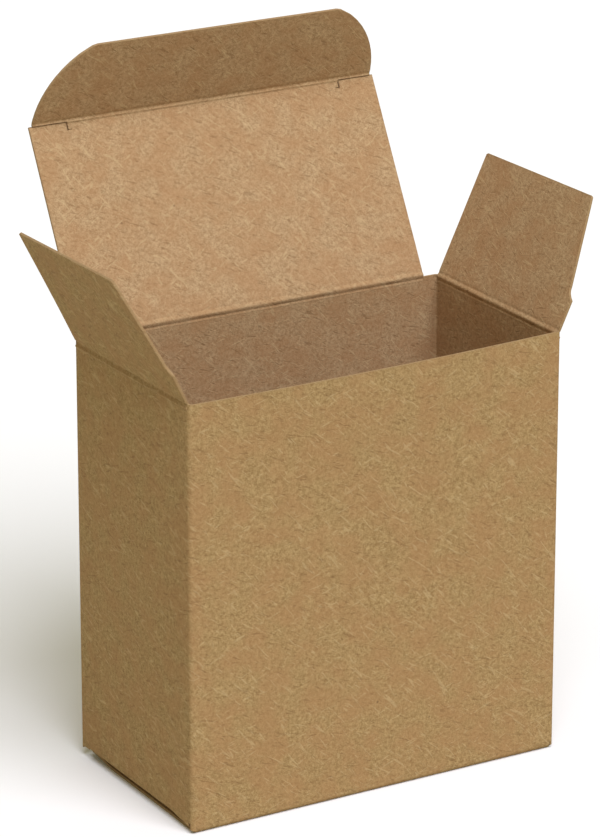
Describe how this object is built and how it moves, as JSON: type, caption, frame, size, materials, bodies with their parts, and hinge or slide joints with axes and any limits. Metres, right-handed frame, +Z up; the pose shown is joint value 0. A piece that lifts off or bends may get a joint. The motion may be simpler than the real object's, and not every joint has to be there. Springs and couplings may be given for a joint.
{
  "type": "reverse tuck folding carton",
  "caption": "Kraft paperboard folding carton, open at the top, with a hinged tuck lid at each end and folding dust flaps.",
  "frame": {"origin": "on the standing surface, at the middle of the carton's footprint, on the underside of the bottom lid", "axes": "+Z up, +X to the right along the front panel, +Y to the back panel that carries the top lid"},
  "size_m": [0.1226, 0.0791, 0.1645],
  "materials": {
    "kraft_board": "uncoated natural kraft, fibrous and matt"
  },
  "bodies": {
    "sleeve": {"sleeve": "kraft_board"},
    "top_lid": {"top_lid": "kraft_board"},
    "top_tuck_flap": {"top_tuck_flap": "kraft_board"},
    "top_dust_flap_left": {"top_dust_flap_left": "kraft_board"},
    "top_dust_flap_right": {"top_dust_flap_right": "kraft_board"},
    "bottom_lid": {"bottom_lid": "kraft_board"},
    "bottom_tuck_flap": {"bottom_tuck_flap": "kraft_board"}
  },
  "joints": [
    {"name": "top_lid_fold", "type": "hinge", "parent": "sleeve", "child": "top_lid", "pos_m": [0, 0.0259, 0.10195], "axis": [1, 0, 0], "range_deg": [-48, 122]},
    {"name": "top_tuck_fold", "type": "hinge", "parent": "top_lid", "child": "top_tuck_flap", "pos_m": [0, 0.05261, 0.14469], "axis": [1, 0, 0], "range_deg": [-23.7, 60.1]},
    {"name": "left_dust_fold", "type": "hinge", "parent": "sleeve", "child": "top_dust_flap_left", "pos_m": [-0.0477, 0, 0.1012], "axis": [0, 1, 0], "range_deg": [-54.5, 115.5]},
    {"name": "right_dust_fold", "type": "hinge", "parent": "sleeve", "child": "top_dust_flap_right", "pos_m": [0.0477, 0, 0.1012], "axis": [0, -1, 0], "range_deg": [-54.5, 115.5]},
    {"name": "bottom_lid_fold", "type": "hinge", "parent": "sleeve", "child": "bottom_lid", "pos_m": [0, -0.0259, 0.0003], "axis": [-1, 0, 0], "range_deg": [0, 90]},
    {"name": "bottom_tuck_fold", "type": "hinge", "parent": "bottom_lid", "child": "bottom_tuck_flap", "pos_m": [0, 0.0245, 0.0012], "axis": [1, 0, 0], "range_deg": [0, 40.6]}
  ],
  "couplings": [
    {"joint": "top_tuck_fold", "follows": "top_lid_fold", "ratio": 0.4918},
    {"joint": "bottom_tuck_fold", "follows": "bottom_lid_fold", "ratio": 0.45}
  ]
}
